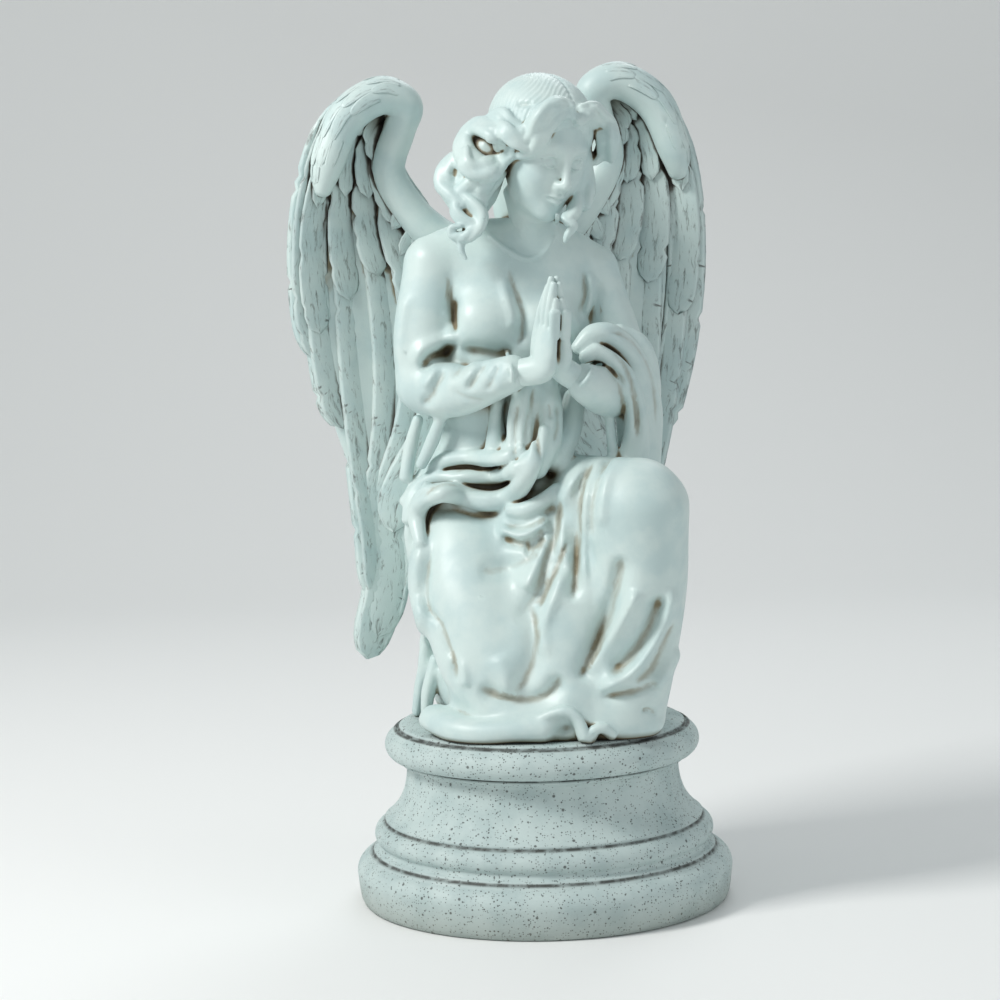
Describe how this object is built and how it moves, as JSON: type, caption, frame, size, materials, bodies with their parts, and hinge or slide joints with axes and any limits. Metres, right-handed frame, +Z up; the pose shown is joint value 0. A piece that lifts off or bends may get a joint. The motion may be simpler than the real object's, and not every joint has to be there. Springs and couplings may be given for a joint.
{
  "type": "garden angel statue",
  "caption": "Kneeling winged angel with folded praying hands, draped gown and wavy hair, on a round moulded plinth; stands on its own base.",
  "frame": {"origin": "centre of the plinth's flat underside, on the ground", "axes": "+Z up, -Y the way the angel faces, +X the angel's left"},
  "size_m": [0.3099, 0.274, 0.6084],
  "materials": {
    "speckled_stone": "matt cast resin and stone powder, pale grey-green with fine dark specks and dark grooves",
    "cast_stone": "matt cast resin and stone powder, pale blue-green with brown wash in the hollows"
  },
  "bodies": {
    "root": {"plinth": "speckled_stone", "angel": "cast_stone"}
  },
  "joints": []
}
